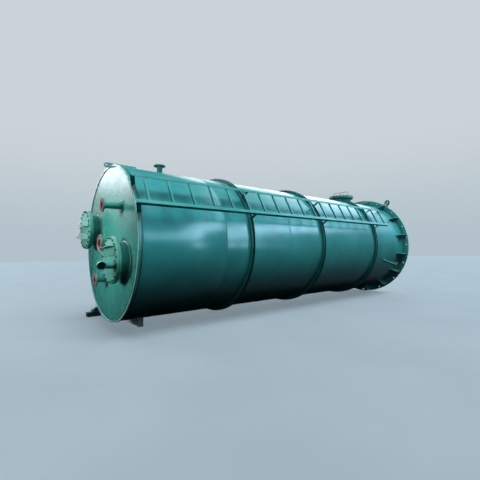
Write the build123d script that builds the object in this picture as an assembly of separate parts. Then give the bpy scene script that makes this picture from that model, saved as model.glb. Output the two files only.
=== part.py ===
from build123d import *
import math
import os

# Oxidation tower lying on its side, as it is stored before it is raised.
# Frame: X runs along the vessel and falls towards its top head, Z is up, and the origin is the centre
# of the underside of the base ring. A height is measured along the vessel from that underside, so it
# is minus X. An angle about the vessel is measured from the near side (-Y) upwards, in degrees.

# Shell
shell_inner_diameter = 2100
shell_wall = 10
shell_top_height = 6576
top_course_height = 1261
bottom_course_height = 1430
course_count = 5

# Ends
top_head_thickness = 14
top_head_inset = 9
bottom_plate_thickness = 12

# Base ring with its gussets and anchor holes; the reaches start at the shell's outer surface
base_ring_reach = 128
base_ring_inner_reach = 60
base_ring_thickness = 28
anchor_count = 16
anchor_hole_diameter = 34
anchor_circle_reach = 85
gusset_thickness = 14
gusset_length = 318
gusset_top_length = 200
gusset_edge_setback = 12

# Rings rolled from channel: two stand at shares of the shell's height, one below the first seam
ring_width = 57
ring_plate = 8
stiffener_reach = 52
stiffener_shares = [0.7412, 0.4831]
stiffener_seam_drop = 84

# Low band round the top end, with a step down on its shell side
end_band_reach = 16
end_band_width = 62
end_band_setback = 4
end_band_step_reach = 6
end_band_step_width = 28

# Ladder of angle stringers and square rungs; the drop is from the shell's top
ladder_angle = 28.5
ladder_face_reach = 184
ladder_width = 418
ladder_rung_pitch = 300
ladder_rung_side = 25
ladder_rung_count = 19
ladder_first_rung_drop = 99
ladder_end_overhang = 155
ladder_foot_overhang = 93
stringer_leg = 45
stringer_thickness = 5
bracket_thickness = 8
bracket_rung_gap = 1

# Manways
manway_neck_diameter = 457
manway_neck_wall = 10
manway_flange_diameter = 572
manway_flange_thickness = 24
manway_cover_thickness = 24
manway_seal_thickness = 3
manway_seal_diameter = 500
head_manway_projection = 170
head_manway_radius = 630
head_manway_angle = -20.5
side_manway_height = 958
side_manway_angle = 90
side_manway_projection = 150

# Angle ribs on the head covers, each with a slanted brace at its far end; a rise is that of the heel
rib_leg = 75
rib_thickness = 8
rib_length = 410
near_rib_flat = 110
near_rib_rises = [160, -54]
near_rib_turn = 3
far_rib_flat = 82
far_rib_rises = [54, -138]
far_rib_turn = -5.5
brace_width = 18
brace_thickness = 12

# Handle frame of round bar on the side cover
handle_length = 424
handle_height = 120
handle_bar_diameter = 20
handle_bend = 24
handle_post_share = 0.9
handle_post_count = 3

# Vent elbow on the near head cover
vent_diameter = 100
vent_wall = 4
vent_offset_out = 193
vent_offset_down = 46
vent_straight = 75
vent_bend_radius = 95
vent_mouth_drop = 8

# Nozzles: pipe, flange and bolt circle sizes
small_pipe_diameter = 84
small_pipe_wall = 5
small_flange_diameter = 178
small_flange_thickness = 18
small_bolt_circle = 138
small_bolt_count = 4
large_pipe_diameter = 108
large_pipe_wall = 6
large_flange_diameter = 224
large_flange_thickness = 20
large_bolt_circle = 180
large_bolt_count = 8
drain_pipe_diameter = 45
drain_pipe_wall = 4
drain_flange_diameter = 122
drain_flange_thickness = 16
drain_bolt_circle = 92
drain_bolt_count = 4
nozzle_bolt_hole_diameter = 18
drain_bolt_hole_diameter = 14

# Nozzle places
upper_nozzle_out = 514
upper_nozzle_rise = 452
upper_nozzle_projection = 242
middle_nozzle_out = 127
middle_nozzle_rise = 0
middle_nozzle_projection = 164
lower_nozzle_out = -88
lower_nozzle_rise = -492
lower_nozzle_projection = 161
pad_diameter = 160
pad_thickness = 8
vent_nozzle_drop = 759
vent_nozzle_angle = 90
vent_nozzle_projection = 150
drain_nozzle_height = 852
drain_nozzle_angle = -20
drain_nozzle_projection = 297

# Lifting plate along the top of the shell at its top end, and the tailing lug on the base ring
lug_thickness = 20
lifting_plate_reach = 62
lifting_plate_length = 450
lifting_plate_overhang = 62
lifting_eye_diameter = 30
tail_lug_eye_diameter = 42
tail_lug_radius = 61
tail_lug_angle = 56.25
tail_lug_eye_rise = 93

# Rest under the top end
rest_height = 70
rest_beam_width = 160
rest_runner_width = 120
rest_runner_clearance = 120
rest_runner_length = 620
rest_beam_inset = 340
rest_runner_inset = 26
saddle_width = 80
saddle_near_reach = 100
saddle_reach = 520
saddle_height = 300
stop_radius = 78
stop_width = 100
stop_inset = 150

# Clearance between a curved piece and the shell that carries it
seat_gap = 0.2
# The hole under a branch is this much larger in radius than the branch's bore
root_clearance = 1
# Extra reach of a cutting shape past the surface that it leaves
cut_over = 5

# Derived sizes
shell_inner_radius = shell_inner_diameter / 2
shell_radius = shell_inner_radius + shell_wall
base_ring_radius = shell_radius + base_ring_reach
base_ring_inner_radius = shell_inner_radius - base_ring_inner_reach
anchor_circle_radius = shell_radius + anchor_circle_reach
floor_level = -base_ring_radius
stiffener_radius = shell_radius + stiffener_reach
stiffener_heights = [share * shell_top_height for share in stiffener_shares]
stiffener_heights.append(bottom_course_height - stiffener_seam_drop)
end_band_radius = shell_radius + end_band_reach
end_band_top_height = shell_top_height - end_band_setback
rest_runner_place = shell_radius + rest_runner_clearance + rest_runner_width / 2
head_face_height = shell_top_height - top_head_inset
ladder_face_radius = shell_radius + ladder_face_reach
ladder_radius = ladder_face_radius - stringer_leg / 2
rung_radius = ladder_face_radius - stringer_thickness - ladder_rung_side / 2
ladder_first_rung_height = shell_top_height - ladder_first_rung_drop
ladder_top_height = ladder_first_rung_height + ladder_end_overhang
ladder_last_rung_height = ladder_first_rung_height - (ladder_rung_count - 1) * ladder_rung_pitch
ladder_foot_height = ladder_last_rung_height - ladder_foot_overhang
vent_nozzle_height = shell_top_height - vent_nozzle_drop
side_manway_depth = side_manway_projection + shell_radius

BOTTOM = (Align.CENTER, Align.CENTER, Align.MIN)


def disc(diameter, thickness):
    """Round plate that stands on the local ground plane."""
    return Cylinder(diameter / 2, thickness, align=BOTTOM)


def about_axis(low, high, outer_radius, inner_radius=0):
    """Disc or ring about the vessel's axis between two heights."""
    body = Cylinder(outer_radius, high - low, align=BOTTOM)
    if inner_radius > 0:
        body -= Cylinder(inner_radius, high - low, align=BOTTOM)
    return Pos(-high, 0, 0) * Rot(0, 90, 0) * body


def seat_on_shell(height, angle):
    """Local Z runs out from the vessel's axis at that height and angle, local X along the vessel."""
    return Pos(-height, 0, 0) * Rot(90 - angle, 0, 0)


def seat_on_head(out, rise):
    """Local Z runs out of the top head, local X is up, and local Y points to the far side."""
    return Pos(-head_face_height, -out, rise) * Rot(0, -90, 0)


def nozzle(start, face, pipe, wall, flange, thickness, circle, count, hole):
    """Pipe with an open flange, from one level to the flange face along local Z."""
    body = Pos(0, 0, start) * disc(pipe, face - start)
    body += Pos(0, 0, face - thickness) * disc(flange, thickness)
    body -= Pos(0, 0, start) * disc(pipe - 2 * wall, face - start)
    for place in PolarLocations(circle / 2, count, start_angle=180 / count):
        body -= place * Pos(0, 0, face - thickness) * disc(hole, thickness)
    return body


def small_nozzle(start, face):
    return nozzle(
        start, face, small_pipe_diameter, small_pipe_wall, small_flange_diameter,
        small_flange_thickness, small_bolt_circle, small_bolt_count, nozzle_bolt_hole_diameter,
    )


def large_nozzle(start, face):
    return nozzle(
        start, face, large_pipe_diameter, large_pipe_wall, large_flange_diameter,
        large_flange_thickness, large_bolt_circle, large_bolt_count, nozzle_bolt_hole_diameter,
    )


def drain_nozzle_body(start, face):
    return nozzle(
        start, face, drain_pipe_diameter, drain_pipe_wall, drain_flange_diameter,
        drain_flange_thickness, drain_bolt_circle, drain_bolt_count, drain_bolt_hole_diameter,
    )


def shell_core():
    """Solid inside which nothing welded to the outside of the shell may reach."""
    return about_axis(-shell_top_height, 2 * shell_top_height, shell_radius + seat_gap)


def root_hole(pipe, wall):
    """Diameter of the hole in the plate under a branch of that pipe."""
    return pipe - 2 * wall + 2 * root_clearance


def shell_branches():
    """Holes through the shell wall under the nozzles and the side manway."""
    reach = shell_radius + cut_over
    small = disc(root_hole(small_pipe_diameter, small_pipe_wall), reach)
    drain = disc(root_hole(drain_pipe_diameter, drain_pipe_wall), reach)
    manway = disc(root_hole(manway_neck_diameter, manway_neck_wall), reach)
    return [
        seat_on_shell(vent_nozzle_height, vent_nozzle_angle) * small,
        seat_on_shell(drain_nozzle_height, drain_nozzle_angle) * drain,
        seat_on_shell(side_manway_height, side_manway_angle) * manway,
    ]


def shell_edges():
    """Heights of the ends and seams of the shell, from the base ring up."""
    middle_height = shell_top_height - top_course_height - bottom_course_height
    course_height = middle_height / (course_count - 2)
    seams = [bottom_course_height + index * course_height for index in range(course_count - 1)]
    return [base_ring_thickness, *seams, shell_top_height]


def shell_course(low, high):
    course = about_axis(low, high, shell_radius, shell_inner_radius)
    for branch in shell_branches():
        course -= branch
    return course


def head_seats():
    """Where each branch sits on the top head, with the hole under it."""
    small_bore = root_hole(small_pipe_diameter, small_pipe_wall)
    large_bore = root_hole(large_pipe_diameter, large_pipe_wall)
    manway_bore = root_hole(manway_neck_diameter, manway_neck_wall)
    return [
        (seat_on_head(upper_nozzle_out, upper_nozzle_rise), small_bore),
        (seat_on_head(middle_nozzle_out, middle_nozzle_rise), large_bore),
        (seat_on_head(lower_nozzle_out, lower_nozzle_rise), small_bore),
        (head_manway_seat(1), manway_bore),
        (head_manway_seat(-1), manway_bore),
    ]


def top_head():
    low = head_face_height - top_head_thickness
    plate = about_axis(low, head_face_height, shell_inner_radius - seat_gap)
    for seat, bore in head_seats():
        plate -= seat * Pos(0, 0, -top_head_thickness) * disc(bore, top_head_thickness)
    return plate


def bottom_plate():
    """Plate that closes the base ring, level with its underside."""
    return about_axis(0, bottom_plate_thickness, base_ring_inner_radius - seat_gap)


def base_ring():
    ring = about_axis(0, base_ring_thickness, base_ring_radius, base_ring_inner_radius)
    for place in PolarLocations(anchor_circle_radius, anchor_count):
        hole = place * disc(anchor_hole_diameter, base_ring_thickness)
        ring -= Pos(-base_ring_thickness, 0, 0) * Rot(0, 90, 0) * hole
    return ring


def gusset():
    """Plate in the local XZ plane, with X as height along the vessel and Z outwards."""
    inner = shell_radius + seat_gap
    outer = base_ring_radius - gusset_edge_setback
    low = base_ring_thickness
    corners = [
        (-low, inner), (-low, outer), (-low - gusset_top_length, outer), (-low - gusset_length, inner),
    ]
    outline = Plane.XZ * Polyline(*corners, close=True)
    return extrude(make_face(outline), amount=gusset_thickness / 2, both=True)


def base_gussets():
    pitch = 360 / anchor_count
    return [Rot((index + 0.5) * pitch, 0, 0) * gusset() for index in range(anchor_count)]


def channel_ring(mid_height):
    """Rolled channel with its web on the shell and its two legs standing out."""
    low = mid_height - ring_width / 2
    high = mid_height + ring_width / 2
    inner = shell_radius + seat_gap
    ring = about_axis(low, high, stiffener_radius, inner)
    groove = about_axis(low + ring_plate, high - ring_plate, stiffener_radius + cut_over, inner + ring_plate)
    return ring - groove


def end_band():
    low = end_band_top_height - end_band_width
    step = about_axis(low, end_band_top_height, shell_radius + end_band_step_reach, shell_radius + seat_gap)
    return step + about_axis(
        low + end_band_step_width, end_band_top_height, end_band_radius, shell_radius + seat_gap
    )


def ladder_seat(height):
    """Local Z runs out to the ladder, local Y runs across it from the near stringer to the far one."""
    return Pos(-height, 0, 0) * Rot(90 - ladder_angle, 0, 0)


def stringer(side):
    """Angle bar with its heel outwards; side is -1 for the near, lower one and 1 for the far, upper one."""
    length = ladder_top_height - ladder_foot_height
    centre = (ladder_top_height + ladder_foot_height) / 2
    standing = Box(length, stringer_thickness, stringer_leg)
    standing_place = Pos(0, side * (ladder_width - stringer_thickness) / 2, ladder_radius)
    flat = Box(length, stringer_leg, stringer_thickness)
    flat_radius = ladder_face_radius - stringer_thickness / 2
    flat_place = Pos(0, side * (ladder_width - stringer_leg) / 2, flat_radius)
    return ladder_seat(centre) * (standing_place * standing + flat_place * flat)


def rung(index):
    height = ladder_first_rung_height - index * ladder_rung_pitch
    length = ladder_width - 2 * stringer_thickness
    bar = Box(ladder_rung_side, length, ladder_rung_side)
    return ladder_seat(height) * Pos(0, 0, rung_radius) * bar


def rungs(first, last):
    return [rung(index) for index in range(first, last)]


def ladder_bracket(foot_top_height, side, seat_radius, lean):
    """Plate from a ring to the inside of one stringer; its stringer end may lean to the top head."""
    outer = ladder_width / 2 - stringer_thickness
    low = math.sqrt((seat_radius + seat_gap) ** 2 - (outer - bracket_thickness) ** 2)
    top = rung_radius - ladder_rung_side / 2 - bracket_rung_gap
    corners = [(-lean, top), (0, low), (ring_width, low), (ring_width - lean, top)]
    plate = extrude(make_face(Plane.XZ * Polyline(*corners, close=True)), amount=side * bracket_thickness)
    return ladder_seat(foot_top_height) * Pos(0, side * outer, 0) * plate


def ladder_brackets(side):
    lean = ladder_top_height - end_band_top_height
    clips = [ladder_bracket(end_band_top_height, side, end_band_radius, lean)]
    for height in stiffener_heights:
        clips.append(ladder_bracket(height + ring_width / 2, side, stiffener_radius, 0))
    return clips


def head_manway_seat(side):
    """Seat of one head manway; side is 1 for the near one and -1 for the far one."""
    angle = math.radians(head_manway_angle)
    out = side * head_manway_radius * math.cos(angle)
    rise = side * head_manway_radius * math.sin(angle)
    return seat_on_head(out, rise)


def manway_neck(start, cover_face):
    """Neck and flange, from one level up to the face that the cover's seal touches."""
    flange_face = cover_face - manway_cover_thickness - manway_seal_thickness
    flange = disc(manway_flange_diameter, manway_flange_thickness)
    body = Pos(0, 0, start) * disc(manway_neck_diameter, flange_face - start)
    body += Pos(0, 0, flange_face - manway_flange_thickness) * flange
    body -= Pos(0, 0, start) * disc(manway_neck_diameter - 2 * manway_neck_wall, flange_face - start)
    return body


def manway_cover(cover_face):
    """Blind cover with the raised seal on its inner face."""
    low = cover_face - manway_cover_thickness
    cover = Pos(0, 0, low) * disc(manway_flange_diameter, manway_cover_thickness)
    cover += Pos(0, 0, low - manway_seal_thickness) * disc(manway_seal_diameter, manway_seal_thickness)
    return cover


def angle_rib(rise, flat):
    """Angle across a cover with its standing leg at the heel and a brace at its far end."""
    way = math.copysign(1, flat)
    level = Pos(rise - flat / 2, 0, 0) * Box(abs(flat), rib_length, rib_thickness, align=BOTTOM)
    standing = Box(rib_thickness, rib_length, rib_leg, align=BOTTOM)
    body = level + Pos(rise - way * rib_thickness / 2, 0, 0) * standing
    foot = rise - flat
    corners = [
        (rise, rib_leg), (rise, rib_leg - brace_width), (foot + flat * brace_width / rib_leg, 0), (foot, 0),
    ]
    brace = extrude(make_face(Plane.XZ * Polyline(*corners, close=True)), amount=-brace_thickness)
    return body + Pos(0, rib_length / 2, 0) * brace


def cover_ribs(rises, flat, turn):
    place = Pos(0, 0, head_manway_projection) * Rot(0, 0, turn)
    return [place * angle_rib(rise, flat) for rise in rises]


def vent_cut():
    """Room that the vent elbow needs through the ribs of the near cover."""
    reach = rib_leg + cut_over
    hole = disc(vent_diameter + 2 * rib_thickness, reach)
    return Pos(-vent_offset_down, -vent_offset_out, head_manway_projection) * hole


def near_cover_ribs():
    ribs = cover_ribs(near_rib_rises, near_rib_flat, near_rib_turn)
    return [rib - vent_cut() for rib in ribs]


def vent_elbow():
    """Pipe out of the near cover that turns to the near side with its mouth tilted down."""
    bend_start = (0, 0, vent_straight)
    mouth = (0, -vent_bend_radius, vent_straight + vent_bend_radius)
    path = Line((0, 0, 0), bend_start) + TangentArc(bend_start, mouth, tangent=(0, 0, 1))
    ring = Circle(vent_diameter / 2) - Circle(vent_diameter / 2 - vent_wall)
    pipe = sweep(ring, path=path)
    place = Pos(-vent_offset_down, -vent_offset_out, head_manway_projection)
    return place * Rot(0, 0, -vent_mouth_drop) * pipe


def handle_frame():
    """Round bar frame that stands across the side cover."""
    radius = handle_bar_diameter / 2
    reach = handle_length / 2 - radius
    top = handle_height - radius
    corners = [(0, -reach, 0), (0, -reach, top), (0, reach, top), (0, reach, 0)]
    path = FilletPolyline(*corners, radius=handle_bend)
    frame = sweep(Pos(0, -reach, 0) * Circle(radius), path=path)
    spacing = 2 * reach / (handle_post_count - 1)
    for index in range(1, handle_post_count - 1):
        post = Cylinder(radius * handle_post_share, top, align=BOTTOM)
        frame += Pos(0, index * spacing - reach, 0) * post
    return frame


def pad():
    return disc(pad_diameter, pad_thickness) - disc(small_pipe_diameter + 2 * seat_gap, pad_thickness)


def lifting_plate():
    """Plate on edge along the top of the shell, with an eye in its round end past the shell's edge."""
    half = lifting_plate_reach / 2
    top_height = shell_top_height + lifting_plate_overhang
    eye_place = Pos(half - top_height, 0, shell_radius + half) * Rot(90, 0, 0)
    body = Pos(lifting_plate_length - top_height, 0, shell_radius) * Box(
        lifting_plate_length - half, lug_thickness, lifting_plate_reach,
        align=(Align.MAX, Align.CENTER, Align.MIN),
    )
    body += eye_place * Cylinder(half, lug_thickness)
    body -= eye_place * Cylinder(lifting_eye_diameter / 2, lug_thickness)
    low = end_band_top_height - end_band_width
    return body - shell_core() - about_axis(low - seat_gap, shell_top_height, end_band_radius + seat_gap)


def tail_lug():
    """Eye plate with a round head that stands on the edge of the base ring."""
    eye = base_ring_radius + tail_lug_eye_rise
    foot = base_ring_radius + seat_gap
    eye_place = Pos(0, 0, eye) * Rot(0, 90, 0)
    plate = Pos(0, 0, foot) * Box(lug_thickness, 2 * tail_lug_radius, eye - foot, align=BOTTOM)
    plate += eye_place * Cylinder(tail_lug_radius, lug_thickness)
    plate -= eye_place * Cylinder(tail_lug_eye_diameter / 2, lug_thickness)
    height = base_ring_thickness - lug_thickness / 2
    return seat_on_shell(height, tail_lug_angle) * plate


def rest_beam():
    """Cross beam on the floor from the saddle to the runner."""
    length = rest_runner_place - rest_runner_width / 2 - saddle_reach
    place = Pos(-shell_top_height + rest_beam_inset, saddle_reach, floor_level)
    return place * Box(rest_beam_width, length, rest_height, align=(Align.MIN, Align.MIN, Align.MIN))


def rest_runner():
    place = Pos(-shell_top_height + rest_runner_inset, rest_runner_place, floor_level)
    corner = (Align.MIN, Align.CENTER, Align.MIN)
    return place * Box(rest_runner_length, rest_runner_width, rest_height, align=corner)


def rest_saddle():
    """Block on the floor under the top end; its top is cut to the shell."""
    centre = -shell_top_height + rest_beam_inset + rest_beam_width / 2
    length = saddle_near_reach + saddle_reach
    block = Box(saddle_width, length, saddle_height, align=(Align.CENTER, Align.MIN, Align.MIN))
    return Pos(centre, -saddle_near_reach, floor_level) * block - shell_core()


def rest_stop():
    """Half round block on the runner."""
    centre = -shell_top_height + rest_runner_inset + stop_inset
    low = floor_level + rest_height
    round_block = Rot(90, 0, 0) * Cylinder(stop_radius, stop_width)
    keep = Box(3 * stop_radius, 2 * stop_width, 2 * stop_radius, align=BOTTOM)
    return Pos(centre, rest_runner_place, low) * (round_block & keep)


def write(name, *solids):
    export_step(Compound(children=list(solids)) if len(solids) > 1 else solids[0], f"parts/{name}.step")


def main():
    os.makedirs("parts", exist_ok=True)
    write("top_head", top_head())
    edges = shell_edges()
    for index, (low, high) in enumerate(zip(edges[:-1], edges[1:])):
        write(f"shell_course_{index + 1}", shell_course(low, high))
    write("bottom_plate", bottom_plate())
    write("base_ring", base_ring())
    write("base_gussets", *base_gussets())
    write("end_band", end_band())
    for index, height in enumerate(stiffener_heights):
        write(f"stiffening_ring_{index + 1}", channel_ring(height))
    write("ladder_near_stringer", stringer(-1))
    write("ladder_far_stringer", stringer(1))
    half = ladder_rung_count // 2
    write("ladder_upper_rungs", *rungs(0, half))
    write("ladder_lower_rungs", *rungs(half, ladder_rung_count))
    write("ladder_near_brackets", *ladder_brackets(-1))
    write("ladder_far_brackets", *ladder_brackets(1))
    near, far = head_manway_seat(1), head_manway_seat(-1)
    write("near_manway_neck", near * manway_neck(0, head_manway_projection))
    write("near_manway_cover", near * manway_cover(head_manway_projection))
    write("near_manway_ribs", *[near * rib for rib in near_cover_ribs()])
    write("vent_elbow", near * vent_elbow())
    write("far_manway_neck", far * manway_neck(0, head_manway_projection))
    write("far_manway_cover", far * manway_cover(head_manway_projection))
    far_ribs = cover_ribs(far_rib_rises, -far_rib_flat, far_rib_turn)
    write("far_manway_ribs", *[far * rib for rib in far_ribs])
    side = seat_on_shell(side_manway_height, side_manway_angle)
    write("side_manway_neck", side * manway_neck(shell_inner_radius, side_manway_depth) - shell_core())
    write("side_manway_cover", side * manway_cover(side_manway_depth))
    write("side_manway_handle", side * Pos(0, 0, side_manway_depth) * handle_frame())
    upper = seat_on_head(upper_nozzle_out, upper_nozzle_rise)
    write("upper_nozzle", upper * small_nozzle(0, upper_nozzle_projection))
    write("upper_nozzle_pad", upper * pad())
    middle = seat_on_head(middle_nozzle_out, middle_nozzle_rise)
    write("middle_nozzle", middle * large_nozzle(0, middle_nozzle_projection))
    lower = seat_on_head(lower_nozzle_out, lower_nozzle_rise)
    write("lower_nozzle", lower * small_nozzle(0, lower_nozzle_projection))
    vent = seat_on_shell(vent_nozzle_height, vent_nozzle_angle)
    vent_face = shell_radius + vent_nozzle_projection
    write("vent_nozzle", vent * small_nozzle(shell_inner_radius, vent_face) - shell_core())
    drain = seat_on_shell(drain_nozzle_height, drain_nozzle_angle)
    drain_face = shell_radius + drain_nozzle_projection
    write("drain_nozzle", drain * drain_nozzle_body(shell_inner_radius, drain_face) - shell_core())
    write("lifting_plate", lifting_plate())
    write("tailing_lug", tail_lug())
    write("rest_beam", rest_beam())
    write("rest_runner", rest_runner())
    write("rest_saddle", rest_saddle())
    write("rest_stop", rest_stop())


main()
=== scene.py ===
from collections import namedtuple
import math

import bmesh
import bpy
from mathutils import Matrix, Vector


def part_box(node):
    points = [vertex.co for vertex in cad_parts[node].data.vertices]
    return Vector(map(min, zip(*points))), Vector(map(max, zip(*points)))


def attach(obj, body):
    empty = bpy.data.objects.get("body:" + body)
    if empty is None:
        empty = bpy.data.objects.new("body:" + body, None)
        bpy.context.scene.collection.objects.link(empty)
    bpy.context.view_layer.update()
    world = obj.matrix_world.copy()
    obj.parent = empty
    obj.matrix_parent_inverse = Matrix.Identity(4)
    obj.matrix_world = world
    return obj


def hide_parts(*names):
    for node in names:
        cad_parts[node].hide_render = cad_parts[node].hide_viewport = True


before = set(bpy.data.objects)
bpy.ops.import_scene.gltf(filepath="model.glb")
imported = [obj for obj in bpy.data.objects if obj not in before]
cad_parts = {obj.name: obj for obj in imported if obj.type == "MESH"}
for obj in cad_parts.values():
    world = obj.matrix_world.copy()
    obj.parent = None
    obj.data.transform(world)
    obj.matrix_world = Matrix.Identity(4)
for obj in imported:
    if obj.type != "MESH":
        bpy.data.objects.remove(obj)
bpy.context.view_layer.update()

# Sizes in metres, in the frame of the model: X falls along the vessel towards its top head. A place on
# the shell is a height above the base ring's underside and an angle up from the near side, in degrees.
# A place on the head is a way out to the near side and a rise.

# Shell
SHELL = 1.060
SHELL_IN = 1.050
TOP = 6.576
HEAD = 6.567
FLOOR = -1.188
SEAMS = [1.430, 2.725, 4.020, 5.315]
SEAM_HALF, SEAM_CROWN = 0.009, 0.0022
SEAT_GAP = 0.0002
ROOT_CLEARANCE = 0.001
CUT_OVER = 0.05

# Base ring, bottom plate and ribs
BASE_RING, BASE_BORE, BASE_PLATE = 1.188, 0.990, 0.028
BOTTOM_PLATE = 0.012
ANCHOR_COUNT, ANCHOR_CIRCLE, ANCHOR_HOLE = 16, SHELL + 0.085, 0.017
RIB_HALF, RIB_TOP, RIB_SHOULDER, RIB_OUTER = 0.007, 0.346, 0.228, BASE_RING - 0.012

# Stiffening rings, and the band round the top end
RINGS = [0.7412 * TOP, 0.4831 * TOP, 1.346]
RING_HALF, RING_PLATE, RING_EDGE = 0.0285, 0.008, SHELL + 0.052
BAND_TOP = TOP - 0.004
BAND_STEP, BAND_FOOT = BAND_TOP - 0.034, BAND_TOP - 0.062
BAND_EDGE, BAND_STEP_EDGE = SHELL + 0.016, SHELL + 0.006

# Ladder
LADDER_ANGLE = 28.5
LADDER_FACE = SHELL + 0.184
LADDER_HALF = 0.209
RAIL_LEG, RAIL_PLATE = 0.045, 0.005
RUNG_SIDE, RUNG_PITCH, RUNG_COUNT, UPPER_RUNGS = 0.025, 0.300, 19, 9
FIRST_RUNG = TOP - 0.099
RAIL_TOP = FIRST_RUNG + 0.155
RAIL_FOOT = FIRST_RUNG - (RUNG_COUNT - 1) * RUNG_PITCH - 0.093
CLIP_OUTER = LADDER_HALF - RAIL_PLATE
CLIP_INNER = CLIP_OUTER - 0.008

# Manways
NECK, NECK_BORE = 0.2285, 0.2185
FLANGE, FLANGE_PLATE = 0.286, 0.024
SEAL, SEAL_EDGE = 0.003, 0.250
COVER_BOLT, COVER_NUT = 0.007, 0.021
COVER_BOLT_CIRCLE, COVER_BOLT_COUNT = 0.266, 20
MANWAY_RADIUS, MANWAY_ANGLE, MANWAY_FACE = 0.630, -20.5, 0.170
SIDE_MANWAY, SIDE_FACE = (0.958, 90), SHELL + 0.150

# Angle ribs on the head covers: side of the head, two heels, reach of the flat legs and turn of a pair
RIB_LEG, RIB_PLATE, RIB_LENGTH = 0.075, 0.008, 0.410
BRACE_WIDTH, BRACE_PLATE = 0.018, 0.012
RIB_PAIRS = {"near": (1, (0.160, -0.054), 0.110, 3.0), "far": (-1, (0.054, -0.138), -0.082, -5.5)}

# Vent elbow on the near cover, and handle over the side cover
ELBOW_PLACE, ELBOW_TURN = (-0.046, -0.193), -8
ELBOW_RADIUS, ELBOW_WALL, ELBOW_STRAIGHT, ELBOW_BEND = 0.050, 0.004, 0.075, 0.095
ELBOW_ROOM, ROOM_LOW, ROOM_HIGH = 0.058, 0.160, 0.300
HANDLE_BAR, HANDLE_POST = 0.010, 0.009
HANDLE_LEVEL, HANDLE_REACH, HANDLE_BEND = 0.110, 0.202, 0.024

# Nozzles, each with its place, the level of its face along its pipe and its size
Branch = namedtuple("Branch", "pipe wall flange thickness circle count hole")
SMALL = Branch(0.084, 0.005, 0.178, 0.018, 0.138, 4, 0.018)
LARGE = Branch(0.108, 0.006, 0.224, 0.020, 0.180, 8, 0.018)
THIN = Branch(0.045, 0.004, 0.122, 0.016, 0.092, 4, 0.014)
RAISED_FACE, NECK_FILLET = 0.0016, 0.008
HEAD_NOZZLES = {"upper": ((0.514, 0.452), 0.242, SMALL), "middle": ((0.127, 0), 0.164, LARGE),
                "lower": ((-0.088, -0.492), 0.161, SMALL)}
SHELL_NOZZLES = {"vent": ((5.817, 90), SHELL + 0.150, SMALL), "drain": ((0.852, -20), SHELL + 0.297, THIN)}
PAD = [(0.0422, 0), (0.0422, 0.008), (0.077, 0.008), (0.080, 0.004), (0.080, 0)]

# Lugs
LUG_HALF = 0.010
HOIST_HALF, HOIST_TIP, HOIST_LENGTH, HOIST_EYE = 0.031, TOP + 0.062, 0.450, 0.015
TAIL_HEAD, TAIL_EYE, TAIL_RISE = 0.061, 0.021, 0.093
TAIL_PLACE = (0.018, 56.25)

# Rest
CRADLE_HEIGHT, CRADLE_REACH = 0.300, (5.0, 6.5)
STOP_RADIUS, STOP_HALF = 0.078, 0.050

# Roundings of edges, legs of fillet welds, and how many flats stand for a round
PAD_ROUND, THIN_ROUND, GUSSET_ROUND, SHELL_ROUND = 0.0008, 0.0012, 0.0014, 0.0015
RING_ROUND, PLATE_ROUND, FLANGE_ROUND = 0.0016, 0.0018, 0.002
STOP_ROUND, TIMBER_ROUND = 0.003, 0.004
RING_WELD, RIM_WELD, PIPE_WELD, FOOT_WELD, NECK_WELD = 0.005, 0.006, 0.007, 0.009, 0.010
SHELL_FLATS, WELD_FLATS, FLANGE_FLATS, PIPE_FLATS = 240, 192, 96, 64
BORE_FLATS, EYE_FLATS, HOLE_FLATS = 48, 40, 24


# Handling of pieces
def close_up():
    bpy.ops.object.mode_set(mode="OBJECT")


def clear_selection():
    if bpy.context.mode != "OBJECT":
        close_up()
    bpy.ops.object.select_all(action="DESELECT")


def take(piece):
    clear_selection()
    piece.select_set(True)
    bpy.context.view_layer.objects.active = piece


def fix_place(piece):
    take(piece)
    bpy.ops.object.transform_apply(location=True, rotation=True, scale=True)


def open_up(piece):
    """Edit mode with the whole piece selected."""
    take(piece)
    bpy.ops.object.mode_set(mode="EDIT")
    bpy.ops.mesh.select_mode(type="EDGE")
    bpy.ops.mesh.select_all(action="SELECT")


def put(piece, place):
    piece.matrix_world = place @ piece.matrix_world
    fix_place(piece)
    return piece


def copy_of(piece, place):
    twin = piece.copy()
    twin.data = piece.data.copy()
    bpy.context.collection.objects.link(twin)
    return put(twin, place)


def weld_up(name, pieces):
    """Several pieces joined into one mesh."""
    take(pieces[0])
    for piece in pieces[1:]:
        piece.select_set(True)
    if len(pieces) > 1:
        bpy.ops.object.join()
    pieces[0].name = name
    return pieces[0]


def drop(piece):
    bpy.data.objects.remove(piece, do_unlink=True)


def tidy_faces(piece):
    """Merged doubles and outward faces."""
    open_up(piece)
    bpy.ops.mesh.remove_doubles(threshold=0.00005)
    bpy.ops.mesh.normals_make_consistent(inside=False)
    close_up()
    return piece


def soften(piece, width, angle=35):
    """Edges sharper than the angle are rounded; what is flatter is shaded smooth."""
    take(piece)
    if width > 0:
        rounding = piece.modifiers.new("rounding", "BEVEL")
        rounding.width = width
        rounding.segments = 2
        rounding.limit_method = "ANGLE"
        rounding.angle_limit = math.radians(angle)
        bpy.ops.object.modifier_apply(modifier="rounding")
    bpy.ops.object.shade_smooth_by_angle(angle=math.radians(angle))
    return piece


def combined(piece, other, operation):
    """The other piece is used up."""
    take(piece)
    joint = piece.modifiers.new("joint", "BOOLEAN")
    joint.operation = operation
    joint.solver = "EXACT"
    joint.object = other
    bpy.ops.object.modifier_apply(modifier="joint")
    drop(other)
    return piece


def cut(piece, cutter):
    return combined(piece, cutter, "DIFFERENCE")


def fused(piece, other):
    return combined(piece, other, "UNION")


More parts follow.
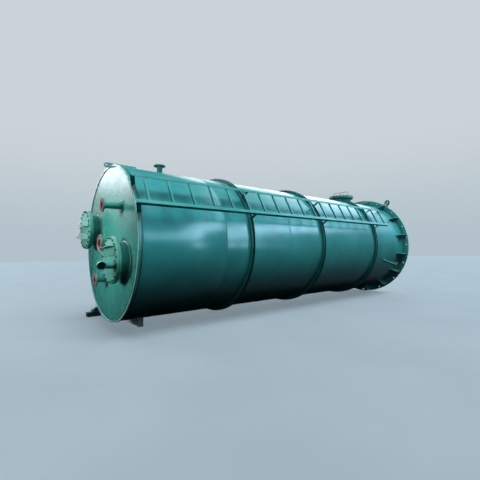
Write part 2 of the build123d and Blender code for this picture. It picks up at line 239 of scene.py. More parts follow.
def select_where(piece, rule, kind):
    """In edit mode, only the edges or corners that the rule picks by their middle are selected."""
    bpy.ops.mesh.select_mode(type=kind)
    bpy.ops.mesh.select_all(action="DESELECT")
    mesh = bmesh.from_edit_mesh(piece.data)
    for part in mesh.edges if kind == "EDGE" else mesh.verts:
        middle = (part.verts[0].co + part.verts[1].co) / 2 if kind == "EDGE" else part.co
        if rule(middle):
            part.select_set(True)
    mesh.select_flush_mode()
    bmesh.update_edit_mesh(piece.data)


# Places
def at(x, y, z):
    return Matrix.Translation((x, y, z))


def about(axis, degrees):
    return Matrix.Rotation(math.radians(degrees), 4, axis)


ABOUT_VESSEL = about("Y", -90)
UPSIDE_DOWN = about("X", 180)


def on_shell(height, angle):
    """Local Z runs out of the shell, local X along the vessel to its foot."""
    return at(-height, 0, 0) @ about("X", 90 - angle)


def on_head(out, rise):
    """Local Z runs out of the top head, local X is up."""
    return at(-HEAD, -out, rise) @ about("Y", -90)


# Shapes
def pull(way):
    """The selected edges are drawn out along the way."""
    bpy.ops.mesh.extrude_edges_move(TRANSFORM_OT_translate={"value": way})


def plain(name, make, **values):
    """New piece from one of the plain shapes that there are."""
    clear_selection()
    make(**values)
    piece = bpy.context.object
    piece.name = name
    fix_place(piece)
    return piece


def turned(name, outline, sides=FLANGE_FLATS, closed=True):
    """Piece turned about local Z through an outline of radii and heights; an open outline gets flat ends."""
    radius, height = outline[0]
    piece = plain(name, bpy.ops.mesh.primitive_circle_add, vertices=sides, radius=radius,
                  location=(0, 0, height))
    open_up(piece)
    for next_radius, next_height in outline[1:] + (outline[:1] if closed else []):
        pull((0, 0, next_height - height))
        grow = next_radius / radius
        bpy.ops.transform.resize(value=(grow, grow, 1), center_override=(0, 0, 0))
        radius, height = next_radius, next_height
    if not closed:
        bpy.ops.mesh.select_all(action="SELECT")
        bpy.ops.mesh.fill_holes(sides=0)
    close_up()
    return tidy_faces(piece)


def round_bar(radius, low, high, sides):
    """Plain round bar along local Z, to build or to cut with."""
    return plain("round_bar", bpy.ops.mesh.primitive_cylinder_add, vertices=sides, radius=radius,
                 depth=high - low, location=(0, 0, (low + high) / 2))


def block(name, low, high):
    """Squared block between two corners."""
    low, high = Vector(low), Vector(high)
    return plain(name, bpy.ops.mesh.primitive_cube_add, size=1, location=(low + high) / 2, scale=high - low)


def sawn(piece, point, outward):
    """The piece sawn through a plane; what lies on the outward side goes."""
    open_up(piece)
    bpy.ops.mesh.bisect(plane_co=point, plane_no=outward, use_fill=True, clear_outer=True)
    close_up()


def angle_bar(name, level, upright, thickness, length):
    """Angle along local X with its heel at the origin, its level leg along +Y and the other along -Z."""
    corner = (-length / 2, thickness / 2, -thickness / 2)
    piece = plain(name, bpy.ops.mesh.primitive_plane_add, size=thickness, location=corner,
                  rotation=(0, math.radians(90), 0))
    open_up(piece)
    select_where(piece, lambda p: p.y > thickness * 0.9, "EDGE")
    pull((0, level - thickness, 0))
    select_where(piece, lambda p: p.z < -thickness * 0.9 and p.y < thickness, "EDGE")
    pull((0, 0, thickness - upright))
    bpy.ops.mesh.select_all(action="SELECT")
    bpy.ops.mesh.extrude_region_move(TRANSFORM_OT_translate={"value": (length, 0, 0)})
    close_up()
    return tidy_faces(piece)


def bent_bar(name, radius, runs, sides=16, wall=0):
    """Bar or pipe from the origin up local Z. A run is a length, or a bend as (radius, degrees, axis)."""
    piece = plain(name, bpy.ops.mesh.primitive_circle_add, vertices=sides, radius=radius)
    open_up(piece)
    point, heading = Vector((0, 0, 0)), Vector((0, 0, 1))
    for run in runs:
        if isinstance(run, tuple):
            bend, degrees, axis = run
            axis = Vector(axis)
            centre = point + bend * axis.cross(heading)
            steps = max(4, round(degrees / 9))
            bpy.ops.mesh.spin(steps=steps, angle=math.radians(-degrees), center=centre, axis=axis)
            turn = Matrix.Rotation(math.radians(degrees), 3, axis)
            point = centre + turn @ (point - centre)
            heading = turn @ heading
        else:
            pull(heading * run)
            point = point + heading * run
    if wall == 0:
        bpy.ops.mesh.select_all(action="SELECT")
        bpy.ops.mesh.fill_holes(sides=0)
    close_up()
    tidy_faces(piece)
    if wall > 0:
        take(piece)
        shell = piece.modifiers.new("wall", "SOLIDIFY")
        shell.thickness = wall
        shell.offset = -1
        bpy.ops.object.modifier_apply(modifier="wall")
    return piece


def weld_bead(name, radius, height, leg, sides=FLANGE_FLATS, outward=1):
    """Fillet weld in the corner between a round piece and the flat under it, with a full throat."""
    side, sunk = outward * leg, 0.001
    inner = radius - outward * sunk
    outline = [
        (inner, height - sunk), (radius + side, height - sunk), (radius + side * 0.92, height + leg * 0.16),
        (radius + side * 0.55, height + leg * 0.55), (radius + side * 0.16, height + leg * 0.92),
        (inner, height + leg),
    ]
    return soften(turned(name, outline, sides), 0, 60)


def butt_bead(name, height):
    """Low crowned bead over a seam of the shell."""
    climb = [(-1, -0.001), (-0.8, SEAM_CROWN * 0.45), (-0.35, SEAM_CROWN * 0.9), (0, SEAM_CROWN)]
    climb += [(-share, rise) for share, rise in reversed(climb[:-1])]
    outline = [(SHELL + rise, height + SEAM_HALF * share) for share, rise in climb]
    return soften(turned(name, outline, SHELL_FLATS), 0, 60)


def saddle(piece):
    """The piece sinks until it follows a lying shell; local Z runs out of the shell."""
    for point in piece.data.vertices:
        point.co.z -= SHELL - math.sqrt(SHELL ** 2 - point.co.y ** 2)


def ring_of(name, piece, count, start=0.0):
    """Copies about local Z, in place of the one."""
    step = 2 * math.pi / count
    copies = [copy_of(piece, Matrix.Rotation(start + index * step, 4, "Z")) for index in range(count)]
    drop(piece)
    return weld_up(name, copies)


def bolt(radius, top, bottom, across):
    """Bolt through two flanges, with its head on top, a washer each side and a nut under."""
    washer, corner, washer_edge = 0.003, across * 0.577, across * 0.62
    high, low = top + washer, bottom - washer
    outlines = [
        ("shank", 10, [(radius * 0.5, bottom - across * 0.95), (radius * 0.5, top + across * 0.2)]),
        ("head", 6, [(corner, high), (corner, high + across * 0.50), (across * 0.47, high + across * 0.60)]),
        ("upper_washer", 16, [(washer_edge, top), (washer_edge, high)]),
        ("lower_washer", 16, [(washer_edge, low), (washer_edge, bottom)]),
        ("nut", 6, [(across * 0.49, low - across * 0.78), (corner, low - across * 0.68), (corner, low)]),
    ]
    return weld_up("bolt", [turned(name, outline, sides, closed=False) for name, sides, outline in outlines])


# Shader nodes
def feed(tree, value, plug):
    """A socket is linked to the plug; any other value is set on it."""
    if isinstance(value, bpy.types.NodeSocket):
        tree.links.new(value, plug)
    else:
        plug.default_value = value


def node(tree, kind, settings=(), **values):
    """New node; its inputs are given by name, or a, b and c by order, as a value or as a socket."""
    made = tree.nodes.new("ShaderNode" + kind)
    for key, value in dict(settings).items():
        setattr(made, key, value)
    for key, value in values.items():
        feed(tree, value, made.inputs["abc".index(key) if key in ("a", "b", "c") else key.replace("_", " ")])
    return made


def maths(tree, operation, clamp=False, **values):
    return node(tree, "Math", {"operation": operation, "use_clamp": clamp}, **values).outputs[0]


def times(tree, a, b):
    """Two masks multiplied, held between nought and one."""
    return maths(tree, "MULTIPLY", True, a=a, b=b)


def product(tree, a, b):
    return maths(tree, "MULTIPLY", a=a, b=b)


def total(tree, a, b):
    return maths(tree, "ADD", a=a, b=b)


def less(tree, a, b):
    return maths(tree, "SUBTRACT", a=a, b=b)


def plus_share(tree, value, other, share):
    """The value and a share of another."""
    return maths(tree, "MULTIPLY_ADD", a=other, b=share, c=value)


def spread(tree, value, low, high, bottom=0.0, top=1.0, kind="LINEAR"):
    """Straight rise from one level to another, as the value goes from low to high."""
    return node(tree, "MapRange", {"interpolation_type": kind}, Value=value, From_Min=low, From_Max=high,
                To_Min=bottom, To_Max=top).outputs[0]


def ramp(tree, value, low, high, bottom=0.0, top=1.0):
    """Smooth rise from one level to another."""
    return spread(tree, value, low, high, bottom, top, "SMOOTHSTEP")


def hump(tree, value, middle, half, soft):
    """One near the middle, falling smoothly to nought past the half width."""
    return ramp(tree, maths(tree, "ABSOLUTE", a=less(tree, value, middle)), half + soft, half)


def own_place(tree):
    return node(tree, "TexCoord").outputs["Object"]


def drawn_out(tree, scale):
    """Own place, drawn out along the axes whose scale is small."""
    return node(tree, "Mapping", Vector=own_place(tree), Scale=scale).outputs[0]


def cloud(tree, place, **values):
    return node(tree, "TexNoise", Vector=place, **values).outputs["Fac"]


def blend(tree, made, first, mask, under, over):
    """The mask and the two that it blends, from the first of their inputs on."""
    for index, value in ((0, mask), (first, under), (first + 1, over)):
        feed(tree, value, made.inputs[index])
    return made.outputs


def blend_colour(tree, mask, under, over):
    return blend(tree, node(tree, "Mix", {"data_type": "RGBA"}), 6, mask, under, over)[2]


def blend_level(tree, mask, under, over):
    return blend(tree, node(tree, "Mix"), 2, mask, under, over)[0]


def blend_light(tree, mask, under, over):
    return blend(tree, node(tree, "MixShader"), 1, mask, under, over)[0]


def srgb(red, green, blue):
    """Colour as a paint chart gives it, made linear."""
    def line(value):
        value /= 255
        return value / 12.92 if value <= 0.04045 else ((value + 0.055) / 1.055) ** 2.4
    return (line(red), line(green), line(blue), 1.0)


# Effects that the finishes share
def shared(maker, output, **inputs):
    """Effect with named number inputs and one output, which its maker gives."""
    tree = bpy.data.node_groups.new(maker.__name__, "ShaderNodeTree")
    for label, value in inputs.items():
        socket = tree.interface.new_socket(name=label.replace("_", " "), in_out="INPUT",
                                           socket_type="NodeSocketFloat")
        socket.default_value = value
    tree.interface.new_socket(name=output, in_out="OUTPUT", socket_type="NodeSocketFloat")
    value = maker(tree, tree.nodes.new("NodeGroupInput").outputs)
    tree.links.new(value, tree.nodes.new("NodeGroupOutput").inputs[output])
    return tree


def soft_patches(tree, given):
    """Soft patches of one colour over another."""
    patch = cloud(tree, own_place(tree), Scale=given["Scale"], Detail=given["Detail"], Roughness=0.55)
    return ramp(tree, patch, given["Low"], given["High"])


def edge_wear_and_sheen(tree, given):
    """Convex edges, broken up by patches."""
    sharp = spread(tree, node(tree, "NewGeometry").outputs["Pointiness"], given["Low"], given["High"])
    patch = cloud(tree, own_place(tree), Scale=given["Scale"], Detail=5.0)
    return times(tree, sharp, spread(tree, patch, 0.38, 0.62))


def settled_dust(tree, given):
    """Dust on what faces up."""
    facing = node(tree, "SeparateXYZ", a=node(tree, "NewGeometry").outputs["Normal"]).outputs["Z"]
    patch = cloud(tree, own_place(tree), Scale=given["Scale"], Detail=6.0, Roughness=0.65)
    lying = times(tree, spread(tree, facing, 0.35, 1.0), spread(tree, patch, 0.3, 0.7))
    return times(tree, lying, given["Amount"])


def corner_grime_and_shade(tree, given):
    """Grime and painted shade in inner corners, where ambient occlusion finds them shut in."""
    open_sky = node(tree, "AmbientOcclusion", {"samples": 6}, Distance=given["Distance"]).outputs["AO"]
    patch = spread(tree, cloud(tree, own_place(tree), Scale=18.0, Detail=4.0), 0.3, 0.6, 0.4)
    shut = times(tree, spread(tree, open_sky, 0.95, 0.35), patch)
    return times(tree, shut, given["Amount"])


def water_runs(tree, given):
    """Faint marks that water left as it ran down."""
    place = drawn_out(tree, (1.0, 1.0, 0.12))
    streak = cloud(tree, place, Scale=given["Scale"], Detail=5.0, Roughness=0.6)
    return times(tree, spread(tree, streak, 0.52, 0.72), given["Amount"])


def sprayed_skin(tree, given):
    """Height of a sprayed coat in metres: slow waves of the plate under it, and fine orange peel."""
    wave = cloud(tree, own_place(tree), Scale=given["Wave Scale"], Detail=1.0, Roughness=0.4)
    peel = cloud(tree, own_place(tree), Scale=given["Peel Scale"], Detail=2.0)
    return plus_share(tree, product(tree, wave, given["Wave"]), peel, given["Peel"])


PATCHES = shared(soft_patches, "Mask", Scale=3.0, Low=0.4, High=0.6, Detail=4.0)
# Edge effect: wear, and where the edge tone is pale, a painted highlight along rounded edges.
EDGE_WEAR_AND_SHEEN = shared(edge_wear_and_sheen, "Mask", Low=0.54, High=0.62, Scale=14.0)
DUST = shared(settled_dust, "Mask", Amount=0.3, Scale=2.5)
# Corner effect: grime and painted shade in inner corners.
CORNER_GRIME_AND_SHADE = shared(corner_grime_and_shade, "Mask", Distance=0.05, Amount=0.6)
RUNS = shared(water_runs, "Mask", Scale=9.0, Amount=0.3)
SKIN = shared(sprayed_skin, "Height", Wave_Scale=1.6, Wave=0.004, Peel_Scale=260.0, Peel=0.000004)


def effect(tree, kind, **values):
    """One effect placed in a material with the values that suit it."""
    made = tree.nodes.new("ShaderNodeGroup")
    made.node_tree = kind
    for label, value in values.items():
        made.inputs[label.replace("_", " ")].default_value = value
    return made.outputs[0]


# Finishes
# The dark corner tone is grime and painted shade; the pale edge tone is wear and a painted highlight on
# rounded edges.
GRIME_AND_SHADE, PALE_DUST, PALE_WEAR_AND_SHEEN = srgb(26, 28, 24), srgb(150, 152, 146), srgb(110, 182, 178)
TIMBER_DUST, WORN_TIMBER = srgb(96, 94, 88), srgb(80, 70, 60)


def new_material(name):
    material = bpy.data.materials.new(name)
    material.use_nodes = True
    return material, material.node_tree, material.node_tree.nodes["Principled BSDF"]


def shade_with(tree, shader, tone, matt, height, strength=1.0, distance=1.0):
    """Colour, roughness and bump of a finish."""
    skin = node(tree, "Bump", Height=height, Strength=strength, Distance=distance)
    for label, socket in (("Base Color", tone), ("Roughness", matt), ("Normal", skin.outputs[0])):
        tree.links.new(socket, shader.inputs[label])


def sprayed(name, colour, shade, rough, wave=0.0, wave_scale=1.6, peel=0.000004, edge_tone=PALE_WEAR_AND_SHEEN, edge=0.0,
            dust=0.12, grime_and_shade=0.5, runs=0.2, grime_and_shade_reach=0.05):
    """Sprayed enamel: two close shades, runs, dust on top, grime and painted shade in corners, and wear and a
    painted highlight along edges.
    """
    material, tree, shader = new_material(name)
    tone = blend_colour(tree, effect(tree, PATCHES, Scale=2.2, Low=0.35, High=0.65), colour, shade)
    dark = tuple(channel * 0.45 for channel in shade[:3]) + (1.0,)
    tone = blend_colour(tree, effect(tree, RUNS, Amount=runs), tone, dark)
    dusty = effect(tree, DUST, Amount=dust)
    tone = blend_colour(tree, dusty, tone, PALE_DUST)
    corner = effect(tree, CORNER_GRIME_AND_SHADE, Amount=grime_and_shade, Distance=grime_and_shade_reach)
    tone = blend_colour(tree, corner, tone, GRIME_AND_SHADE)
    patch = effect(tree, PATCHES, Scale=7.0, Low=0.3, High=0.7, Detail=6.0)
    matt = spread(tree, patch, 0.0, 1.0, rough, rough * 1.35)
    matt = plus_share(tree, matt, dusty, 0.5)
    matt = plus_share(tree, matt, corner, 0.3)
    # The edge tone is wear, and where it is pale it is also a painted highlight along rounded edges.
    if edge > 0:
        edge_mark = times(tree, effect(tree, EDGE_WEAR_AND_SHEEN), edge)
        tone = blend_colour(tree, edge_mark, tone, edge_tone)
        matt = plus_share(tree, matt, edge_mark, 0.25)
    shade_with(tree, shader, tone, matt, effect(tree, SKIN, Wave=wave, Wave_Scale=wave_scale, Peel=peel))
    return material


def timber(name, colour, shade):
    """Sawn timber: grain along Y, dull, with worn corners."""
    material, tree, shader = new_material(name)
    grain = cloud(tree, drawn_out(tree, (1.0, 0.06, 1.0)), Scale=90.0, Detail=6.0, Roughness=0.7)
    rings = spread(tree, grain, 0.35, 0.65)
    tone = blend_colour(tree, rings, colour, shade)
    tone = blend_colour(tree, effect(tree, DUST, Amount=0.2, Scale=6.0), tone, TIMBER_DUST)
    edge_mark = times(tree, effect(tree, EDGE_WEAR_AND_SHEEN, Scale=30.0), 0.35)
    tone = blend_colour(tree, edge_mark, tone, WORN_TIMBER)
    shade_with(tree, shader, tone, spread(tree, rings, 0.0, 1.0, 0.7, 0.9), grain, 0.7, 0.002)
    return material


def lumpy(name, colour, shade, rough, patches, lumps, depth, strength, grime_and_shade, amount, reach):
    """Enamel over bolts or welds: two close shades, grime and painted shade in corners, and a lumpy skin."""
    material, tree, shader = new_material(name)
    patch = effect(tree, PATCHES, **patches)
    tone = blend_colour(tree, patch, colour, shade)
    tone = blend_colour(tree, effect(tree, CORNER_GRIME_AND_SHADE, Amount=amount, Distance=reach), tone, grime_and_shade)
    matt = spread(tree, patch, 0.0, 1.0, rough, rough * 1.5)
    shade_with(tree, shader, tone, matt, effect(tree, PATCHES, **lumps), strength, depth)
    return material


WELD = {"rough": 0.28, "patches": {"Scale": 24.0, "Low": 0.3, "High": 0.7},
        "lumps": {"Scale": 150.0, "Low": 0.25, "High": 0.75}, "depth": 0.0012, "strength": 0.8,
        "grime_and_shade": GRIME_AND_SHADE, "amount": 0.35, "reach": 0.02}
BOLT = {"rough": 0.42, "patches": {"Scale": 40.0, "Low": 0.35, "High": 0.65},
        "lumps": {"Scale": 220.0, "Low": 0.2, "High": 0.8}, "depth": 0.0004, "strength": 0.3,
        "grime_and_shade": srgb(24, 24, 22), "amount": 0.3, "reach": 0.01}
SHELL_PAINT = sprayed("shell_enamel", srgb(47, 136, 140), srgb(41, 124, 128), rough=0.19, wave=0.004,
                      wave_scale=1.4, runs=0.07, dust=0.05)
HEAD_PAINT = sprayed("head_enamel", srgb(60, 138, 128), srgb(57, 132, 123), rough=0.22, wave=0.002,
                     wave_scale=1.2, peel=0.000001, runs=0.015, grime_and_shade=0.2, dust=0.0, grime_and_shade_reach=0.03)
RING_PAINT = sprayed("ring_enamel", srgb(38, 120, 116), srgb(30, 104, 102), rough=0.32, edge=0.3)
# Dark teal painted on as shade: in the grooves of the rings, on the step of the top band and along the toes
# of the cover ribs.
GROOVE_SHADE_PAINT = sprayed("groove_shade_enamel", srgb(16, 62, 64), srgb(10, 48, 50), rough=0.4, grime_and_shade=0.6)
# The strong corner darkening on the covers is painted shade along the rib toes and round the bolts; the pale
# green along edges is wear and a painted highlight.
COVER_PAINT = sprayed("cover_enamel", srgb(86, 150, 134), srgb(76, 138, 124), rough=0.4,
                      edge_tone=srgb(150, 204, 192), edge=0.2, grime_and_shade=1.0, runs=0.04, grime_and_shade_reach=0.013)
# Near-white enamel on the rib braces, a painted highlight along their edges.
BRACE_HIGHLIGHT_PAINT = sprayed("brace_highlight_enamel", srgb(244, 250, 248), srgb(232, 242, 240), rough=0.4, grime_and_shade=0.0)
# Neck enamel darkened as painted shade under the cover flanges.
SHADED_NECK_PAINT = sprayed("shaded_neck_enamel", srgb(31, 94, 87), srgb(25, 82, 76), rough=0.34, edge=0.2,
                     grime_and_shade=0.3, runs=0.08, dust=0.04)
# Pale enamel painted on the front edge of the top band as a highlight.
RIM_HIGHLIGHT_PAINT = sprayed("rim_highlight_enamel", srgb(190, 228, 222), srgb(170, 214, 208), rough=0.3, grime_and_shade=0.2)
RIM_PAINT = sprayed("rim_enamel", srgb(50, 132, 124), srgb(42, 118, 112), rough=0.28, edge=0.3)
FITTING_PAINT = sprayed("fitting_enamel", srgb(58, 140, 128), srgb(48, 124, 114), rough=0.34,
                        edge=0.25, grime_and_shade=0.6)
LADDER_PAINT = sprayed("ladder_enamel", srgb(52, 140, 140), srgb(44, 124, 124), rough=0.34,
                       edge=0.25, grime_and_shade=0.1, dust=0.02, runs=0.04)
HANDLE_PAINT = sprayed("handle_enamel", srgb(216, 212, 194), srgb(196, 194, 176), rough=0.4,
                       edge_tone=srgb(96, 88, 76), edge=0.2)
BASE_PAINT = sprayed("base_enamel", srgb(70, 172, 166), srgb(60, 156, 150), rough=0.3, edge=0.25,
                     grime_and_shade=0.4)
STOP_PAINT = sprayed("stop_enamel", srgb(48, 124, 112), srgb(38, 104, 96), rough=0.42,
                     edge_tone=srgb(120, 104, 84), edge=0.3)
PRIMER = sprayed("flange_primer", srgb(112, 70, 76), srgb(96, 58, 66), rough=0.62,
                 edge_tone=srgb(206, 188, 178), edge=0.3)
BORE_PAINT = sprayed("bore_oxide", srgb(84, 24, 24), srgb(60, 16, 18), rough=0.7, grime_and_shade=0.8)
WELD_PAINT = lumpy("weld_enamel", srgb(46, 134, 138), srgb(38, 120, 124), **WELD)
# Pale green enamel on the manway and branch root welds: the welds' own paint, lightened as a painted
# highlight along the beads.
PALE_WELD_SHEEN = lumpy("weld_green_sheen", srgb(104, 176, 160), srgb(86, 158, 142), **WELD)
BOLT_PAINT = lumpy("bolt_enamel", srgb(34, 86, 78), srgb(24, 66, 60), **BOLT)
BEAM_TIMBER = timber("black_baulk", srgb(24, 23, 23), srgb(14, 13, 13))
SADDLE_TIMBER = timber("grey_block", srgb(206, 216, 222), srgb(188, 200, 208))


def finish_piece(piece, material, slot, *nodes):
    """Finish and place in the frame of one done piece; the slot argument is not used."""
    if not piece.data.materials:
        piece.data.materials.append(material)
    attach(piece, "root")
    if nodes:
        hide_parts(*nodes)


def paint_faces(piece, materials, rule):
    """The rule gives each face's finish by its middle and normal."""
    for material in materials:
        piece.data.materials.append(material)
    for face in piece.data.polygons:
        face.material_index = rule(face.center, face.normal)


def dress_node(name, material):
    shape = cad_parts[name]
    shape.data.materials.clear()
    shape.data.materials.append(material)


# Shell
def branch_hole(label):
    place, face, size = SHELL_NOZZLES[label]
    return place, size.pipe / 2 - size.wall


def shell_plate(index, low, high, holes):
    outline = [(SHELL_IN, low), (SHELL, low), (SHELL, high), (SHELL_IN, high)]
    plate = put(turned(f"shell_plate_{index}", outline, SHELL_FLATS), ABOUT_VESSEL)
    for place, radius in holes:
        cutter = round_bar(radius + ROOT_CLEARANCE, SHELL_IN - CUT_OVER, SHELL + CUT_OVER, BORE_FLATS)
        cut(plate, put(cutter, on_shell(*place)))
    soften(plate, SHELL_ROUND if high == TOP else 0)
    finish_piece(plate, SHELL_PAINT, "shell_paint", f"shell_course_{index}")


def shell():
    edges = [BASE_PLATE] + SEAMS + [TOP]
    holes = {1: [(SIDE_MANWAY, NECK_BORE), branch_hole("drain")], 5: [branch_hole("vent")]}
    for index, (low, high) in enumerate(zip(edges, edges[1:]), 1):
        shell_plate(index, low, high, holes.get(index, []))
    beads = [butt_bead("seam", height) for height in SEAMS]
    beads.append(weld_bead("rim_weld", SHELL_IN, HEAD, RIM_WELD, WELD_FLATS, -1))
    seams = put(weld_up("shell_seams", beads), ABOUT_VESSEL)
    finish_piece(seams, WELD_PAINT, "shell_paint")
    dress_node("top_head", HEAD_PAINT)
    dress_node("bottom_plate", SHELL_PAINT)


def rolled(name, cad_node, outline, paints, rule, top):
    """Ring about the vessel, painted by the rule, with a fillet weld at its foot and one at the top."""
    ring = soften(turned(name, outline, SHELL_FLATS), RING_ROUND)
    paint_faces(ring, paints, rule)
    finish_piece(put(ring, ABOUT_VESSEL), paints[0], "shell_paint", cad_node)
    upper = weld_bead("upper_weld", SHELL, top, RING_WELD, WELD_FLATS)
    lower = put(weld_bead("lower_weld", SHELL, -outline[0][1], RING_WELD, WELD_FLATS), UPSIDE_DOWN)
    welds = put(weld_up(name + "_welds", [upper, lower]), ABOUT_VESSEL)
    finish_piece(welds, WELD_PAINT, "shell_paint")


def channel_ring(index, mid):
    """Channel with its legs outwards; its groove is painted dark as shade."""
    low, high, web, leg = mid - RING_HALF, mid + RING_HALF, SHELL + RING_PLATE, RING_PLATE * 0.8
    outline = [(SHELL, low), (RING_EDGE, low), (RING_EDGE, low + RING_PLATE), (web, low + RING_PLATE),
               (web, high - RING_PLATE), (RING_EDGE, high - RING_PLATE), (RING_EDGE, high), (SHELL, high)]

    def shaded_groove(middle, normal):
        return int(low + leg < middle.z < high - leg and math.hypot(middle.x, middle.y) < RING_EDGE - 0.004)
    name = f"stiffener_{index}"
    rolled(name, f"stiffening_ring_{index}", outline, (RING_PAINT, GROOVE_SHADE_PAINT), shaded_groove, high)


def end_band():
    """Low band round the top end, stepped down towards the shell; its step is painted dark as shade and its
    front edge pale as a highlight.
    """
    outline = [(SHELL, BAND_FOOT), (BAND_STEP_EDGE, BAND_FOOT), (BAND_STEP_EDGE, BAND_STEP),
               (BAND_EDGE, BAND_STEP), (BAND_EDGE, BAND_TOP), (SHELL, BAND_TOP)]

    def highlight_or_shaded_step(middle, normal):
        # Front face: painted highlight; step: painted shade.
        if normal.z > 0.3 and middle.z > BAND_TOP - 0.003:
            return 2
        return int(middle.z < BAND_STEP)
    paints = (RIM_PAINT, GROOVE_SHADE_PAINT, RIM_HIGHLIGHT_PAINT)
    rolled("rim_band", "end_band", outline, paints, highlight_or_shaded_step, BAND_TOP - 0.002)


def rings():
    for index, mid in enumerate(RINGS, 1):
        channel_ring(index, mid)
    end_band()


# Base
def base():
    outline = [(BASE_BORE, 0), (BASE_RING, 0), (BASE_RING, BASE_PLATE), (BASE_BORE, BASE_PLATE)]
    plate = turned("base_plate_ring", outline, SHELL_FLATS)
    bore = round_bar(ANCHOR_HOLE, -CUT_OVER, BASE_PLATE + CUT_OVER, HOLE_FLATS)
    put(bore, at(ANCHOR_CIRCLE, 0, 0))
    cut(plate, ring_of("anchor_bores", bore, ANCHOR_COUNT))
    soften(plate, PLATE_ROUND)
    finish_piece(put(plate, ABOUT_VESSEL), BASE_PAINT, "shell_paint", "base_ring")

    rib = block("base_rib", (-RIB_TOP, -RIB_HALF, SHELL + SEAT_GAP), (-BASE_PLATE, RIB_HALF, RIB_OUTER))
    sawn(rib, (-RIB_SHOULDER, 0, RIB_OUTER), (SHELL - RIB_OUTER, 0, RIB_TOP - RIB_SHOULDER))
    soften(rib, GUSSET_ROUND)
    step = 2 * math.pi / ANCHOR_COUNT
    ribs = [copy_of(rib, Matrix.Rotation((index + 0.5) * step, 4, "X")) for index in range(ANCHOR_COUNT)]
    drop(rib)
    finish_piece(weld_up("base_ribs", ribs), RING_PAINT, "shell_paint", "base_gussets")

    foot = weld_bead("foot_weld", SHELL, BASE_PLATE, FOOT_WELD, WELD_FLATS)
    inside = weld_bead("inside_weld", BASE_BORE, BOTTOM_PLATE, PIPE_WELD, WELD_FLATS, -1)
    finish_piece(put(weld_up("base_welds", [foot, inside]), ABOUT_VESSEL), WELD_PAINT, "shell_paint")


# Ladder
def ladder_place(height):
    return on_shell(height, LADDER_ANGLE)


def ladder():
    sides = {"near": (-1, 0), "far": (1, 180)}
    for label, (side, turn) in sides.items():
        bar = angle_bar(f"{label}_rail", RAIL_LEG, RAIL_LEG, RAIL_PLATE, RAIL_TOP - RAIL_FOOT)
        place = at(0, side * LADDER_HALF, LADDER_FACE) @ about("Z", turn)
        put(soften(bar, THIN_ROUND), ladder_place((RAIL_TOP + RAIL_FOOT) / 2) @ place)
        finish_piece(bar, LADDER_PAINT, "ladder_paint", f"ladder_{label}_stringer")
    half, high = RUNG_SIDE / 2, LADDER_FACE - RAIL_PLATE
    tread = block("tread", (-half, -CLIP_OUTER, high - RUNG_SIDE), (half, CLIP_OUTER, high))
    soften(tread, RING_ROUND)
    heights = [FIRST_RUNG - index * RUNG_PITCH for index in range(RUNG_COUNT)]
    for label, some in (("upper", heights[:UPPER_RUNGS]), ("lower", heights[UPPER_RUNGS:])):
        bars = [copy_of(tread, ladder_place(height)) for height in some]
        finish_piece(weld_up(f"{label}_treads", bars), LADDER_PAINT, "ladder_paint", f"ladder_{label}_rungs")
    drop(tread)
    for label, (side, turn) in sides.items():
        clips = [clip(BAND_TOP, side, BAND_EDGE, RAIL_TOP - BAND_TOP)]
        clips += [clip(height + RING_HALF, side, RING_EDGE, 0) for height in RINGS]
        piece = weld_up(f"{label}_clips", clips)
        finish_piece(piece, LADDER_PAINT, "ladder_paint", f"ladder_{label}_brackets")


def clip(height, side, seat, lean):
    """Plate from a ring to the inside of one rail; its rail end may lean to the top head."""
    low = math.sqrt(seat ** 2 - CLIP_INNER ** 2)
    high = LADDER_FACE - RAIL_PLATE - RUNG_SIDE - 0.001
    inner, outer = sorted((side * CLIP_INNER, side * CLIP_OUTER))
    plate = block("clip", (0, inner, low), (2 * RING_HALF, outer, high))
    open_up(plate)
    select_where(plate, lambda p: p.z > high - 0.001, "VERT")
    bpy.ops.transform.translate(value=(-lean, 0, 0))
    close_up()
    soften(plate, THIN_ROUND)
    return put(plate, ladder_place(height))


# Manways
def root_weld(name, radius, leg, curved, sides=FLANGE_FLATS):
    """Weld round the root of a branch, on the flat head or on the curved shell."""
    bead = weld_bead(name, radius, SHELL if curved else 0, leg, sides)
    if curved:
        saddle(bead)
    return bead


def manway(label, place, face, cad_prefix, curved=False):
    """Neck with its flange, bolted cover and root weld; heights are along local Z."""
    root = SHELL_IN if curved else 0
    seat = face - FLANGE_PLATE - SEAL
    back = seat - FLANGE_PLATE
    outline = [(NECK_BORE, root), (NECK_BORE, seat), (FLANGE, seat), (FLANGE, back), (NECK, back),
               (NECK, root)]
    body = soften(turned(f"{label}_manway_pipe", outline), FLANGE_ROUND)
    # The neck pipe takes the darker enamel as painted shade; the flange takes the fitting enamel.
    paint_faces(body, (SHADED_NECK_PAINT, FITTING_PAINT), lambda middle, normal: int(middle.z > back - 0.0005))
    finish_piece(put(body, place), SHADED_NECK_PAINT, "head_paint", f"{cad_prefix}_manway_neck")

    lid = [(SEAL_EDGE, seat), (SEAL_EDGE, seat + SEAL), (FLANGE, seat + SEAL), (FLANGE, face)]
    cover = soften(turned(f"{label}_manway_lid", lid, closed=False), FLANGE_ROUND)
    finish_piece(put(cover, place), COVER_PAINT, "head_paint", f"{cad_prefix}_manway_cover")

    stud = put(bolt(COVER_BOLT, face, back, COVER_NUT), at(COVER_BOLT_CIRCLE, 0, 0))
    bolts = ring_of(f"{label}_manway_bolts", stud, COVER_BOLT_COUNT, math.pi / COVER_BOLT_COUNT)
    finish_piece(put(bolts, place), BOLT_PAINT, "head_paint")

    bead = root_weld("root_weld", NECK, NECK_WELD, curved)
    under = put(weld_bead("flange_weld", NECK, -back, RIM_WELD), UPSIDE_DOWN)
    finish_piece(put(weld_up(f"{label}_manway_welds", [bead, under]), place), PALE_WELD_SHEEN, "head_paint")


